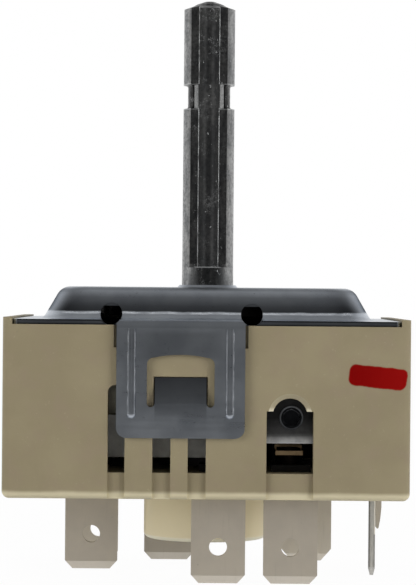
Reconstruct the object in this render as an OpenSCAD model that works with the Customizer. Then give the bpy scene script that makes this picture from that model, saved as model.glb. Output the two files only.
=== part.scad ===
// Control for an electric range's surface element, in millimetres.
// The origin is on the shaft's axis at the top face of the cover's dome, with +Z along the shaft.
// The front, where the windows are, faces -Y. The blade terminals point down and their tips are level.

/* [Shaft] */
// Diameter of the shaft
shaft_d = 6.2; // [5.6:0.05:6.6]
// Height of the shaft above the dome
shaft_h = 34.8; // [27:0.1:45]
// Height of the plain round collar above the dome
collar_h = 2.5; // [2.2:0.1:4]
// Width of the round centre rib
rib_w = 2.56; // [2:0.02:2.8]
// Width of each slot beside the centre rib
slot_w = 0.92; // [0.6:0.02:1.1]
// Distance from the shaft's axis to the floor of a slot
slot_floor = 1.7; // [1.2:0.05:2.1]
// Height of the knob's snap notch above the dome
notch_z = 21.7; // [16:0.1:23]
// Length of the snap notch
notch_l = 2.9; // [2:0.1:4]
// Depth of the snap notch in the outer ribs
notch_depth = 0.53; // [0.3:0.01:0.7]
// Distance that the shaft can be pushed in
push_l = 2; // [1.5:0.1:2.1]

/* [Housing] */
// Width of the housing, along X
body_w = 47; // [46.6:0.1:52]
// Depth of the housing, along Y
body_d = 36; // [35.8:0.1:42]
// Height of the housing from its underside to the cover's seat
body_h = 20.05; // [19.8:0.05:24]
// Distance from the dome's top face down to the cover's seat
seat_drop = 4.4; // [4.2:0.05:5]
// Thickness of the housing's walls
wall = 1.8; // [1.3:0.05:1.9]
// Thickness of the housing's floor
floor_t = 3.05; // [2.4:0.05:3.6]
// Height of the side walls above the cover's seat
side_rise = 0.8; // [0.3:0.05:1]
// Radius of the housing's outer edges
edge_r = 0.85; // [0.4:0.05:1]
// Diameter of the round boss under the housing
boss_d = 15; // [13.4:0.1:17]
// Height of the boss
boss_h = 5.95; // [5.2:0.05:8]
// Diameter of the bore inside the boss
boss_bore_d = 10.4; // [9.4:0.1:11]
// Thickness of the boss's bottom
boss_floor = 1.8; // [1.2:0.05:2.2]

/* [Front windows] */
// Left edges of the three narrow windows
slot_window_x = [-11.33, -6.18, -2.11];
// Widths of the three narrow windows
slot_window_w = [1.97, 2.09, 2.09];
// Heights of the three narrow windows above the housing's floor
slot_window_h = [10.1, 6, 6];
// Left edge of the calibration window
cal_window_x = 6.93; // [6.5:0.05:7.3]
// Width of the calibration window
cal_window_w = 5.41; // [5:0.05:6]
// Height of the calibration window's square part above the floor
cal_window_h = 7.2; // [6.6:0.1:8]
// Diameter of the round hole over the calibration window
cal_hole_d = 4; // [3.2:0.1:4.6]
// Width of the bevel round that hole
cal_bevel = 0.5; // [0.2:0.05:0.8]
// Depth of the shallow channels below the windows
channel_depth = 0.5; // [0.2:0.05:0.9]

/* [Cover] */
// Thickness of the cover's sheet
sheet_t = 0.6; // [0.5:0.02:0.65]
// Width of the flange at the left and right of the dome
flange_side = 4.1; // [3.3:0.05:5]
// Width of the flange before and behind the dome
flange_front = 3; // [2.8:0.05:3.6]
// Radius of the dome's corners at its foot
dome_corner_r = 6; // [4.5:0.1:8]
// Angle of the dome's walls from the vertical
dome_slope = 30; // [20:1:35]
// Radius of the bend round the dome's top
dome_top_r = 1.8; // [1.2:0.1:2]
// Radius of the bend between flange and dome
dome_foot_r = 1.1; // [0.8:0.05:1.2]
// Distance from the dome's foot to the middle of an M4 fixing hole
fixing_inset = 5.4; // [5:0.1:6]
// Tapped diameter of the fixing holes
fixing_d = 3.3; // [2.5:0.1:3.4]

/* [Clips] */
// Width of each clip
clip_w = 14.77; // [14:0.01:16]
// Sideways offset of the front clip's centre from the shaft
clip_offset = -2.97; // [-3.2:0.01:-2.8]
// Distance from the cover's seat down to the clip's lower edge
clip_l = 12.95; // [12.5:0.05:13.4]
// Width of the latch window in a clip
latch_w = 7.77; // [7:0.01:8.2]
// Width of the latch tongue
latch_tongue_w = 5.93; // [5.4:0.01:6.2]
// Distance from the seat down to the top of the latch window
latch_top = 3.7; // [3.3:0.05:3.8]
// Distance from the seat down to the tongue's upper edge
tongue_top = 6; // [5.6:0.05:6.4]
// Distance from the seat down to the lower ends of the slots beside the tongue
latch_bottom = 9.4; // [9:0.05:9.8]
// Width of the pressed ribs in a clip
clip_rib_w = 1; // [0.7:0.05:1.2]
// Distance between the two ribs in a clip
clip_rib_pitch = 11.3; // [11:0.05:11.6]
// Diameter of the relief holes at the clip's bend
relief_d = 2.55; // [2:0.05:2.8]

/* [Terminals] */
// Width of a blade terminal
tab_w = 6.3; // [6:0.05:6.4]
// Thickness of a blade terminal
tab_t = 0.8; // [0.7:0.05:0.9]
// Length of a blade terminal below the housing
tab_l = 9.95; // [8.6:0.05:12]
// Diameter of the hole in a blade terminal
tab_hole_d = 2.1; // [1.6:0.05:2.4]
// Distance from a blade terminal's tip to its hole
tab_hole_z = 4.2; // [3.6:0.05:4.6]
// Distance from the housing's front to the two front terminals
front_tab_inset = 4; // [3.8:0.05:4.2]
// Front-to-back place of the two rear terminals
rear_tab_y = 12; // [11.95:0.05:12.6]

/* [Mechanism] */
// Radius of the cam wheel's detent rim
rim_r = 12; // [11.8:0.05:12.1]
// Smallest radius of the setting spiral
spiral_r = 7.4; // [7.2:0.05:7.6]
// Growth of the setting spiral over the whole turn
spiral_rise = 1.5; // [1:0.05:1.6]
// Radius of the lobes that open the pole blades
lobe_r = 8.4; // [8.2:0.05:8.5]
// Angle that the shaft turns from OFF to its end stop
turn_angle = 285; // [270:1:290]
// Diameter of the calibration screw
screw_d = 2.8; // [2.4:0.05:3]
// Thickness of the set lever's sheet
lever_t = 0.8; // [0.6:0.05:0.9]
// Diameter of the lever's pivot pin
pin_d = 2.4; // [2:0.05:2.6]
// Distance between the ceramic heater plate and the set lever
plate_gap = 2.3; // [2:0.1:4]
// Height of the ceramic heater plate
plate_h = 4.9; // [4.4:0.05:5]
// Height of the bimetal strip
bimetal_h = 3.5; // [3:0.05:3.8]
// Thickness of the bimetal strip
bimetal_t = 0.6; // [0.4:0.05:0.65]
// Thickness of the copper leaf blades
leaf_t = 0.3; // [0.2:0.02:0.34]
// Diameter of the contact rivets
contact_d = 2.4; // [1.8:0.05:2.6]
// Wire diameter of the shaft's spring
wire_d = 0.6; // [0.4:0.05:0.65]

/* [Hidden] */
$fn = 64;

// Clearances
run_fit = 0.08;
seat_fit = 0.05;
cam_gap = 0.25;
contact_gap = 0.4;
cut = 1;

// Heights that the housing gives
seat_z = -seat_drop;
body_z = seat_z - body_h;
floor_z = body_z + floor_t;
boss_z = body_z - boss_h;
spring_seat_z = boss_z + boss_floor;
tip_z = body_z - tab_l;
inner_x = body_w / 2 - wall;
inner_y = body_d / 2 - wall;

// Shaft
shaft_r = shaft_d / 2;
collar_r = shaft_r + 0.04;
stem_r = shaft_r - 0.25;
flat_y = 0.74 * shaft_r;
shaft_flange_r = shaft_r + 1.2;
shaft_hole_r = shaft_r + run_fit;
shaft_flange_t = 1.4;
pilot_r = 1.6;
pilot_end_z = spring_seat_z + push_l + 0.6;

// Cam wheel
rim_t = 2.1;
rim_z = -sheet_t - 0.7 - rim_t;
hub_r = 6.2;
hub_top_z = -sheet_t - 0.15;
counterbore_z = -sheet_t - 0.1 - shaft_flange_t - push_l - 0.5;
journal_l = 2;
shaft_end_z = floor_z - journal_l - 0.1;
spiral_t = 3.4;
spiral_z = seat_z - 0.6 - spiral_t;
pole_t = 4;
pole_z = spiral_z - 1.2 - pole_t;
pole_base_r = 7.2;
lobe_half = 14;
stop_r = 13;
stop_drop = 2.2;
post_w = 2.8;
post_y = 11.6;
post_top_z = seat_z - 0.2;
stop_margin = 1;
post_half = asin(post_w / 2 / post_y);
stop_half = (360 - turn_angle) / 2 - post_half - stop_margin;
stop_mid = 90 - post_half - stop_margin - stop_half;
notch_r = 1.15;

// Set lever, its pin and the calibration screw
pin_r = pin_d / 2;
lever_y = 2.3 - inner_y;
pin_x = 15;
pin_y = lever_y + 4.9;
nose_r = 1.2;
nose_angle = 8.6;
nose_dist = spiral_r + cam_gap + nose_r;
nose_x = nose_dist * cos(nose_angle);
nose_y = nose_dist * sin(nose_angle);
lever_x = 5.5;
lever_end_x = 17;
lever_top_z = spiral_z + spiral_t / 2 - 0.3;
lever_lip_z = floor_z + 3.3;
lever_lip_t = 0.7;
lever_lip_d = 2;
arm_w = 2.4;
screw_x = 9.9;
screw_z = floor_z + 6.3;
screw_y = lever_y - 0.3;
screw_l = 2.4;
socket_r = 1.05;
cal_hole_x = cal_window_x + cal_window_w / 2;
cal_hole_z = floor_z + 6.7;

// Bimetal strip and heater plate
plate_y = lever_y + 1;
bimetal_x = 2.7 - inner_x;
bimetal_y = plate_y + 2;
bimetal_z = floor_z + 6.5;
pad_x = 8.4;
pad_w = 3;
pad_z = floor_z + 4.4;
plate_x = bimetal_x + 2;
plate_l = lever_x - plate_gap - plate_x;
plate_z = floor_z + 1.5;
plate_t = 0.8;
leg_x = [plate_x + 2.5, plate_x + plate_l - 1.7];
leg_w = 2;
leg_l = 3.4;
bracket_w = 1.4;
bracket_foot_w = 4.9;
bracket_foot_d = 2.2;

// Snap blade and its contacts
blade_x = 8.3;
blade_w = 2.8;
blade_mid = blade_x + blade_w / 2;
blade_y = bimetal_y + 2.25;
blade_foot_z = floor_z + 1.9;
blade_foot_t = 0.5;
blade_front_y = blade_y - 4.55;
snap_rivet_y = blade_y - 2.85;
carrier_gap = 0.1;
carrier_h = 1;
push_pin_z = blade_foot_z + carrier_h + 2.4;
contact_z = screw_z + 0.2;
button_t = 0.6;
fixed_post_y = blade_y + leaf_t + button_t + contact_gap + button_t;
contact_r = contact_d / 2;

// Pole blades, drawn for the left one: the rear one is the same a quarter turn on
leaf_x = -(lobe_r + cam_gap + 0.65 + leaf_t);
leaf_z = pole_z + 0.6;
leaf_h = 2.8;
leaf_y0 = -6.6;
leaf_y1 = 9.5;
post_leaf_h = 3.2;
pole_contact_y = 8;
contact_post_x = leaf_x + leaf_t + button_t + contact_gap + button_t - 0.2;

// Terminals
tab_x = -13.76;
tab_y = -3;
tab_rear_y = 8;
tab_rear_shift = 0.43;
front_tab_y = front_tab_inset - body_d / 2;
front_center_x = 1.49;
front_right_x = 9.9;
rear_left_x = -4.58;
rear_right_x = 12.76;
side_tab_x = body_w / 2 - 3.35;
side_tab_y = 14.2 - inner_y;
side_tab_turn = 86.3;
shoulder = 0.85;
stem_w = tab_w - 2 * shoulder;
narrow_tab_w = 4.8;
narrow_stem_w = narrow_tab_w - 2 * shoulder;
left_rise = 0.4;
foot_z = floor_z + tab_t;

// Side lug
lug_x = side_tab_x + 0.73;
lug_y = side_tab_y + 4.2;
lug_w = 3.4;
lug_t = 0.72;
lug_l = 4.95;
lug_taper = 2.6;
lug_foot_w = 2;

// Cover
dome_w = body_w - 2 * flange_side;
dome_d = body_d - 2 * flange_front;
fixing_pitch = dome_w - 2 * fixing_inset;
hole_lip_w = 0.5;
hole_lip_h = 0.3;
flange_x = body_w / 2 - 1.2;
clip_y = -body_d / 2 - seat_fit - sheet_t;
clip_bend_r = 0.5;
clip_relief = clip_bend_r - seat_fit;
clip_z = seat_z - clip_l;
flange_z = seat_z + sheet_t;

// A box from one corner to the opposite one
module block(low, high) {
    translate(low)
        cube(high - low);
}

// A rectangle with round corners, centred on the origin
module round_rect(w, d, r) {
    square([w - 2 * r, d], center = true);
    square([w, d - 2 * r], center = true);
    for (x = [-1, 1], y = [-1, 1])
        translate([x * (w / 2 - r), y * (d / 2 - r)])
            circle(r);
}

// A block whose vertical and lower edges are rounded
module round_block(w, d, z0, z1, r) {
    translate([0, 0, z0 + r])
        linear_extrude(z1 - z0 - r)
            round_rect(w, d, r);
    block([-w / 2 + r, -d / 2 + r, z0], [w / 2 - r, d / 2 - r, z0 + 2 * r]);
    for (y = [-1, 1])
        translate([-w / 2 + r, y * (d / 2 - r), z0 + r])
            rotate([0, 90, 0])
                cylinder(r = r, h = w - 2 * r);
    for (x = [-1, 1])
        translate([x * (w / 2 - r), d / 2 - r, z0 + r])
            rotate([90, 0, 0])
                cylinder(r = r, h = d - 2 * r);
    for (x = [-1, 1], y = [-1, 1])
        translate([x * (w / 2 - r), y * (d / 2 - r), z0 + r])
            sphere(r);
}

// A profile, drawn outwards from a corner's centre, carried round a rectangle with round corners
module sweep_round(w, d, r) {
    for (i = [0:3])
        rotate([0, 0, 90 * i]) {
            long = i % 2 == 0 ? w / 2 - r : d / 2 - r;
            wide = i % 2 == 0 ? d / 2 - r : w / 2 - r;
            translate([long, wide, 0])
                rotate_extrude(angle = 90)
                    children();
            translate([long, wide, 0])
                rotate([90, 0, 0])
                    linear_extrude(2 * wide)
                        children();
        }
}

// A cylinder along Y from y0 to y1
module rod_y(x, z, r, y0, y1) {
    translate([x, y0, z])
        rotate([-90, 0, 0])
            cylinder(r = r, h = y1 - y0);
}

// Points along an arc in a profile
function arc(cx, cz, r, from, to, steps = 8) =
    [for (i = [0:steps])
        let (a = from + (to - from) * i / steps)
        [cx + r * cos(a), cz + r * sin(a)]];

// Housing

// The floor's slot for one terminal's stem
module stem_slot(x, y, turn = 0, w = stem_w) {
    translate([x, y, 0])
        rotate([0, 0, turn])
            block([-w / 2 - seat_fit, -tab_t / 2 - seat_fit, body_z - cut],
                [w / 2 + seat_fit, tab_t / 2 + seat_fit, floor_z + cut]);
}

// The three narrow windows, with the shallow channels below them
module narrow_windows() {
    corner = 0.86;
    front = -body_d / 2 - cut;
    back = cut - inner_y;
    for (i = [0:len(slot_window_x) - 1]) {
        x0 = slot_window_x[i];
        x1 = x0 + slot_window_w[i];
        top = floor_z + slot_window_h[i];
        difference() {
            block([x0, front, floor_z], [x1, back, top]);
            if (i == 0)
                difference() {
                    block([x0 - cut, front - cut, top - corner], [x0 + corner, back + cut, top + cut]);
                    rod_y(x0 + corner, top - corner, corner, front - 2 * cut, back + 2 * cut);
                }
        }
        block([x0, front, body_z - cut], [x1, channel_depth - body_d / 2, floor_z + cut / 2]);
    }
}

// The calibration window with its round, bevelled screwdriver hole and its channel
module calibration_window() {
    x1 = cal_window_x + cal_window_w;
    front = -body_d / 2 - cut;
    back = cut - inner_y;
    block([cal_window_x, front, floor_z], [x1, back, floor_z + cal_window_h]);
    block([cal_window_x, front, body_z - cut], [x1, channel_depth - body_d / 2, floor_z + cut / 2]);
    rod_y(cal_hole_x, cal_hole_z, cal_hole_d / 2, front, back);
    bevel = cal_bevel + seat_fit;
    translate([cal_hole_x, -body_d / 2 - seat_fit, cal_hole_z])
        rotate([-90, 0, 0])
            cylinder(r1 = cal_hole_d / 2 + bevel, r2 = cal_hole_d / 2, h = bevel);
}

// The pocket that a clip's tongue snaps into, and the relief behind the clip's bend
module latch_pocket() {
    pocket_half = latch_tongue_w / 2 + 0.15;
    pocket_depth = 1.1;
    relief_half = clip_w / 2 + 0.35;
    relief_h = 2.6;
    front = -body_d / 2 - cut;
    block([clip_offset - pocket_half, front, seat_z - latch_bottom - 0.6],
        [clip_offset + pocket_half, pocket_depth - body_d / 2, seat_z - tongue_top + 0.1]);
    block([clip_offset - relief_half, front, seat_z - relief_h],
        [clip_offset + relief_half, clip_relief - body_d / 2, seat_z + cut]);
}

// Ribs inside the left wall that carry the detent spring and part the left terminals
module detent_ribs() {
    for (y = [[leaf_y0 - 1, leaf_y0 + 0.6], [4.4, 6]]) {
        block([-inner_x - 0.1, y[0], floor_z - 0.1], [-rim_r - 1.6, y[1], post_top_z]);
        block([-rim_r - 4, y[0], post_top_z - 0.1], [-rim_r - 1.6, y[1], rim_z + rim_t - 0.6]);
    }
}

// The round boss under the floor, with a rounded lower edge
module boss() {
    r = boss_d / 2;
    fillet = 0.7;
    translate([0, 0, boss_z])
        rotate_extrude()
            polygon(concat(
                [[0, 0]],
                arc(r - fillet, fillet, fillet, -90, 0),
                [[r, floor_z - boss_z - 0.1], [0, floor_z - boss_z - 0.1]]
            ));
}

module housing() {
    rim_top_z = seat_z + side_rise;
    color([0.74, 0.68, 0.53])
        difference() {
            union() {
                difference() {
                    round_block(body_w, body_d, body_z, rim_top_z, edge_r);
                    block([-inner_x, -inner_y, floor_z], [inner_x, inner_y, rim_top_z + cut]);
                    block([-flange_x - 0.1, -body_d, seat_z], [flange_x + 0.1, body_d, rim_top_z + cut]);
                }
                boss();
                block([-post_w / 2, post_y, floor_z - 0.1], [post_w / 2, inner_y + 0.1, post_top_z]);
                detent_ribs();
            }
            translate([0, 0, spring_seat_z])
                cylinder(r = boss_bore_d / 2, h = floor_z - spring_seat_z + cut);
            translate([pin_x, pin_y, floor_z - 1.5])
                cylinder(r = pin_r + seat_fit, h = 1.5 + cut);
            narrow_windows();
            calibration_window();
            latch_pocket();
            rotate([0, 0, 180])
                latch_pocket();
            stem_slot(front_center_x, front_tab_y);
            stem_slot(front_right_x, front_tab_y);
            stem_slot(tab_x, tab_y);
            stem_slot(tab_x + tab_rear_shift, tab_rear_y, w = narrow_stem_w);
            stem_slot(rear_left_x, rear_tab_y);
            stem_slot(rear_right_x, rear_tab_y);
            stem_slot(side_tab_x, side_tab_y, side_tab_turn);
            block([lug_x - seat_fit, lug_y - seat_fit, body_z - cut],
                [lug_x + lug_t + seat_fit, lug_y + lug_w + seat_fit, floor_z + cut]);
        }
}

// Cover

// Outer line of the dome's wall, outwards from the centre of a corner
wall_top_x = dome_corner_r - (seat_drop - sheet_t) * tan(dome_slope);
// Width of the flat stretch that the section shares with the plates it meets
seam = 0.3;

function dome_line(t) =
    let (
        top_r = dome_top_r - t,
        foot_r = dome_foot_r + t,
        half = (90 - dome_slope) / 2,
        top_x = wall_top_x - dome_top_r * tan(half),
        foot_x = dome_corner_r + dome_foot_r * tan(half)
    )
    concat(
        [[top_x - 2 * seam, -t]],
        arc(top_x, -dome_top_r, top_r, 90, dome_slope),
        arc(foot_x, flange_z + dome_foot_r, foot_r, 180 + dome_slope, 270),
        [[foot_x + 2 * seam, flange_z - t]]
    );

function reversed(list) = [for (i = [len(list) - 1:-1:0]) list[i]];

// The sheet's section from the flat top to the flange
module dome_section() {
    polygon(concat(dome_line(0), reversed(dome_line(sheet_t))));
}

// One clip: the bend, the strip with its latch window, the sprung tongue and the pressed ribs
module clip_strip() {
    x0 = clip_offset - clip_w / 2;
    x1 = clip_offset + clip_w / 2;
    corner = 1.2;
    outer = clip_bend_r + sheet_t;
    bend_y = clip_y + outer;
    bend_z = flange_z - outer;
    translate([x0, 0, 0])
        rotate([90, 0, 90])
            linear_extrude(clip_w)
                intersection() {
                    difference() {
                        translate([bend_y, bend_z])
                            circle(outer);
                        translate([bend_y, bend_z])
                            circle(clip_bend_r);
                    }
                    translate([bend_y - outer, bend_z])
                        square(outer);
                }
    difference() {
        union() {
            block([x0, clip_y, clip_z + corner], [x1, clip_y + sheet_t, bend_z]);
            block([x0 + corner, clip_y, clip_z], [x1 - corner, clip_y + sheet_t, bend_z]);
            for (x = [x0 + corner, x1 - corner])
                rod_y(x, clip_z + corner, corner, clip_y, clip_y + sheet_t);
        }
        latch_cut();
    }
    clip_tongue();
    for (side = [-1, 1])
        clip_rib(clip_offset + side * clip_rib_pitch / 2);
}

// The inverted U cut through the clip round its tongue
module latch_cut() {
    x0 = clip_offset - latch_w / 2;
    x1 = clip_offset + latch_w / 2;
    side = (latch_w - latch_tongue_w) / 2;
    y0 = clip_y - cut;
    y1 = clip_y + sheet_t + cut;
    corner = 0.8;
    bow = 0.34;
    bow_half = latch_w / 2 - corner;
    bow_r = (bow_half * bow_half + bow * bow) / (2 * bow);
    translate([0, 0, seat_z]) {
        intersection() {
            rod_y(clip_offset, bow - latch_top - bow_r, bow_r, y0, y1);
            block([clip_offset - bow_half, y0, -latch_top - corner], [clip_offset + bow_half, y1, bow]);
        }
        block([x0, y0, -latch_bottom + side / 2], [x1, y1, -latch_top - corner]);
        block([x0 + corner, y0, -latch_top - corner - cut], [x1 - corner, y1, -latch_top]);
        for (x = [x0 + corner, x1 - corner])
            rod_y(x, -latch_top - corner, corner, y0, y1);
        for (x = [x0 + side / 2, x1 - side / 2])
            rod_y(x, -latch_bottom + side / 2, side / 2, y0, y1);
    }
}

// The tongue leans in through the window, to catch in the housing's pocket
module clip_tongue() {
    lean = 12;
    foot = seat_z - latch_bottom;
    x0 = clip_offset - latch_tongue_w / 2;
    length = (latch_bottom - tongue_top) / cos(lean);
    translate([x0, clip_y, foot])
        rotate([-lean, 0, 0])
            block([0, 0, 0], [latch_tongue_w, sheet_t, length]);
    block([x0, clip_y, foot - 0.3], [x0 + latch_tongue_w, clip_y + sheet_t, foot + 0.3]);
}

// A rib pressed out of the clip's face, round in section and at its ends
module clip_rib(x) {
    top = seat_z - 0.4;
    bottom = seat_z - latch_bottom - 1.3;
    proud = 0.35;
    r = (clip_rib_w * clip_rib_w / 4 + proud * proud) / (2 * proud);
    intersection() {
        union() {
            translate([x, clip_y - proud + r, bottom + clip_rib_w / 2])
                cylinder(r = r, h = top - bottom - clip_rib_w / 2);
            translate([x, clip_y - proud + r, bottom + clip_rib_w / 2])
                sphere(r);
        }
        block([x - clip_rib_w, clip_y - 2 * proud, bottom - cut],
            [x + clip_rib_w, clip_y + sheet_t / 2, top]);
    }
}

// The flange with its hole for the dome, less the corners beside each clip
module flange_plate() {
    lip = dome_corner_r + dome_foot_r * tan((90 - dome_slope) / 2) + seam;
    grow = lip - dome_corner_r;
    translate([0, 0, seat_z])
        linear_extrude(sheet_t)
            difference() {
                round_rect(2 * flange_x, body_d, 0.8);
                round_rect(dome_w + 2 * grow, dome_d + 2 * grow, lip);
            }
}

// The gap between the flange's front edge and the strip's bend is bridged across the clip's width
module clip_bridge() {
    outer = clip_bend_r + sheet_t;
    block([clip_offset - clip_w / 2, clip_y + outer, seat_z],
        [clip_offset + clip_w / 2, flange_front - body_d / 2 - 0.4, flange_z]);
}

module cover() {
    top_inset = dome_corner_r - wall_top_x + dome_top_r * tan((90 - dome_slope) / 2) + seam;
    collar_drop = 0.5;
    color([0.5, 0.51, 0.52])
        difference() {
            union() {
                flange_plate();
                sweep_round(dome_w, dome_d, dome_corner_r)
                    dome_section();
                translate([0, 0, -sheet_t])
                    linear_extrude(sheet_t)
                        round_rect(dome_w - 2 * top_inset, dome_d - 2 * top_inset, dome_corner_r - top_inset);
                for (turn = [0, 180])
                    rotate([0, 0, turn]) {
                        clip_bridge();
                        clip_strip();
                    }
                for (side = [-1, 1])
                    translate([side * fixing_pitch / 2, 0, -sheet_t - collar_drop])
                        cylinder(r = fixing_d / 2 + 0.7, h = collar_drop + 0.1);
                rotate_extrude()
                    polygon([
                        [0, -0.1], [shaft_hole_r + hole_lip_w, -0.1], [shaft_hole_r + hole_lip_w, 0],
                        [shaft_hole_r + hole_lip_w / 2, hole_lip_h], [0, hole_lip_h]
                    ]);
            }
            translate([0, 0, -sheet_t - cut])
                cylinder(r = shaft_hole_r, h = sheet_t + hole_lip_h + 2 * cut);
            for (side = [-1, 1])
                translate([side * fixing_pitch / 2, 0, -3 * cut])
                    cylinder(r = fixing_d / 2, h = 4 * cut);
            for (turn = [0, 180])
                rotate([0, 0, turn])
                    for (side = [-1, 1])
                        rod_y(clip_offset + side * (clip_w / 2 + 0.78), flange_z + 0.65, relief_d / 2,
                            -body_d / 2 - cut, 1.6 - dome_d / 2);
        }
}

// Shaft

// The four slots beside the centre ribs, from the collar to the tip
module shaft_slots() {
    x0 = rib_w / 2;
    for (x = [-1, 1], y = [-1, 1])
        scale_sign(x, y)
            block([x0, slot_floor, collar_h + 0.35], [x0 + slot_w, shaft_r + cut, shaft_h + cut]);
}

// Mirrors its child across X, across Y or both
module scale_sign(x, y) {
    mirror([x < 0 ? 1 : 0, 0, 0])
        mirror([0, y < 0 ? 1 : 0, 0])
            children();
}

// The snap notch, a round groove in the two outer ribs only
module snap_notch() {
    corner = 0.35;
    floor_r = shaft_r - notch_depth;
    reach = notch_depth + cut;
    difference() {
        translate([0, 0, notch_z])
            rotate_extrude()
                union() {
                    translate([floor_r + corner, 0])
                        square([reach, notch_l]);
                    translate([floor_r, corner])
                        square([reach, notch_l - 2 * corner]);
                    for (z = [corner, notch_l - corner])
                        translate([floor_r + corner, z])
                            circle(corner);
                }
        block([-rib_w / 2, -shaft_r - 2 * cut, notch_z - cut],
            [rib_w / 2, shaft_r + 2 * cut, notch_z + notch_l + cut]);
    }
}

module shaft() {
    neck = -sheet_t - 0.1;
    tip_half = 0.6;
    color([0.55, 0.55, 0.56])
        difference() {
            union() {
                rotate_extrude()
                    polygon([
                        [0, neck - shaft_flange_t], [shaft_flange_r, neck - shaft_flange_t],
                        [shaft_flange_r, neck], [collar_r, neck], [shaft_r, collar_h], [shaft_r, shaft_h - 1],
                        [shaft_r - 1, shaft_h - 0.64], [shaft_r - 1.5, shaft_h - 0.35],
                        [tip_half + 0.3, shaft_h - 0.1], [tip_half, shaft_h], [0, shaft_h]
                    ]);
                intersection() {
                    translate([0, 0, shaft_end_z])
                        cylinder(r = stem_r, h = neck - shaft_end_z);
                    block([-shaft_r, -flat_y, shaft_end_z - cut], [shaft_r, flat_y, neck + cut]);
                }
                translate([0, 0, pilot_end_z])
                    cylinder(r = pilot_r, h = shaft_end_z - pilot_end_z + 0.1);
            }
            shaft_slots();
            snap_notch();
        }
}

// Cam wheel

// The setting spiral: its radius grows evenly with the angle, and steps back where the follower never runs
function spiral_point(a) =
    let (
        lead = 8,
        span = turn_angle + 2 * lead,
        along = min(a, span),
        back = a > span ? (a - span) / (360 - span) : 0,
        r = spiral_r + spiral_rise * (along - lead) / turn_angle - back * spiral_rise * span / turn_angle
    )
    [r * cos(nose_angle + a - lead), r * sin(nose_angle + a - lead)];

module cam_spiral() {
    steps = 72;
    translate([0, 0, spiral_z])
        linear_extrude(spiral_t)
            polygon([for (i = [0:steps - 1]) spiral_point(360 * i / steps)]);
}

// A ring-shaped piece of a disc between two angles
module sector(r, from, to, h) {
    rotate([0, 0, from])
        rotate_extrude(angle = to - from)
            square([r, h]);
}

// The two pole cams, one above the other, each with the lobe that opens its blade at OFF
module cam_poles() {
    translate([0, 0, pole_z])
        cylinder(r = pole_base_r, h = pole_t + 1.2);
    translate([0, 0, pole_z + pole_t / 2 + 0.1])
        sector(lobe_r, 180 - lobe_half, 180 + lobe_half, pole_t / 2 - 0.1);
    translate([0, 0, pole_z])
        sector(lobe_r, 90 - lobe_half, 90 + lobe_half, pole_t / 2 - 0.1);
}

module cam_wheel() {
    journal_r = boss_bore_d / 2 - run_fit;
    color([0.16, 0.15, 0.15])
        difference() {
            union() {
                translate([0, 0, rim_z])
                    cylinder(r = rim_r, h = rim_t);
                translate([0, 0, floor_z + 0.1])
                    cylinder(r = hub_r, h = hub_top_z - floor_z - 0.1);
                translate([0, 0, floor_z - journal_l])
                    cylinder(r = journal_r, h = journal_l + 0.2);
                translate([0, 0, rim_z - stop_drop])
                    difference() {
                        sector(stop_r, stop_mid - stop_half, stop_mid + stop_half, stop_drop);
                        translate([0, 0, -cut])
                            cylinder(r = hub_r - 0.5, h = stop_drop + 2 * cut);
                    }
                cam_spiral();
                cam_poles();
            }
            translate([0, 0, counterbore_z])
                cylinder(r = shaft_flange_r + 0.3, h = cut - counterbore_z);
            intersection() {
                translate([0, 0, floor_z - journal_l - cut])
                    cylinder(r = stem_r + run_fit, h = cut - floor_z + journal_l);
                block([-shaft_r - cut, -flat_y - run_fit, floor_z - journal_l - cut],
                    [shaft_r + cut, flat_y + run_fit, 0]);
            }
            for (a = [180, 180 + turn_angle * 0.88])
                rotate([0, 0, a])
                    translate([rim_r + 0.75, 0, rim_z - cut])
                        cylinder(r = notch_r, h = rim_t + 2 * cut);
        }
}

// Shaft spring: a round wire carried along a helix, with closed end turns
spring_r = pilot_r + 0.55 + wire_d / 2;
spring_turns = 5;
spring_sides = 8;
spring_steps = 20;
spring_z0 = spring_seat_z + wire_d / 2 + 0.02;
spring_z1 = shaft_end_z - wire_d / 2 - 0.02;

// The end turns rise by little more than a wire, and the free turns share the rest
function helix_z(t) =
    let (flat = wire_d * 1.06, free = spring_z1 - spring_z0 - 2 * flat)
    t < 1 ? spring_z0 + flat * t
    : t > spring_turns - 1 ? spring_z1 - flat * (spring_turns - t)
    : spring_z0 + flat + free * (t - 1) / (spring_turns - 2);

function helix_ring(t) =
    [for (i = [0:spring_sides - 1])
        let (a = 360 * i / spring_sides, r = spring_r + wire_d / 2 * cos(a))
        [r * cos(360 * t), r * sin(360 * t), helix_z(t) + wire_d / 2 * sin(a)]];

module shaft_spring() {
    last = spring_turns * spring_steps;
    points = [for (i = [0:last]) each helix_ring(i / spring_steps)];
    color([0.6, 0.6, 0.62])
        polyhedron(points, concat(
            [[for (i = [0:spring_sides - 1]) i]],
            [for (k = [0:last - 1], i = [0:spring_sides - 1])
                let (j = (i + 1) % spring_sides, low = k * spring_sides, high = low + spring_sides)
                [low + i, high + i, high + j, low + j]],
            [[for (i = [spring_sides - 1:-1:0]) last * spring_sides + i]]
        ));
}

// Set lever, pin and calibration screw

// Outline of the lever's upper flange: a strip over the face, an eye at the pin and an arm to the nose
module lever_flange() {
    reach = norm([nose_x - pin_x, nose_y - pin_y]);
    aim = atan2(nose_y - pin_y, nose_x - pin_x);
    translate([lever_x, lever_y])
        square([lever_end_x - lever_x, 2.6]);
    translate([pin_x - 2, lever_y])
        square([4, pin_y - lever_y]);
    translate([pin_x, pin_y])
        circle(2.4);
    translate([pin_x, pin_y])
        rotate(aim)
            translate([0, -arm_w / 2])
                square([reach, arm_w]);
    translate([nose_x, nose_y])
        circle(nose_r);
}

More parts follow.
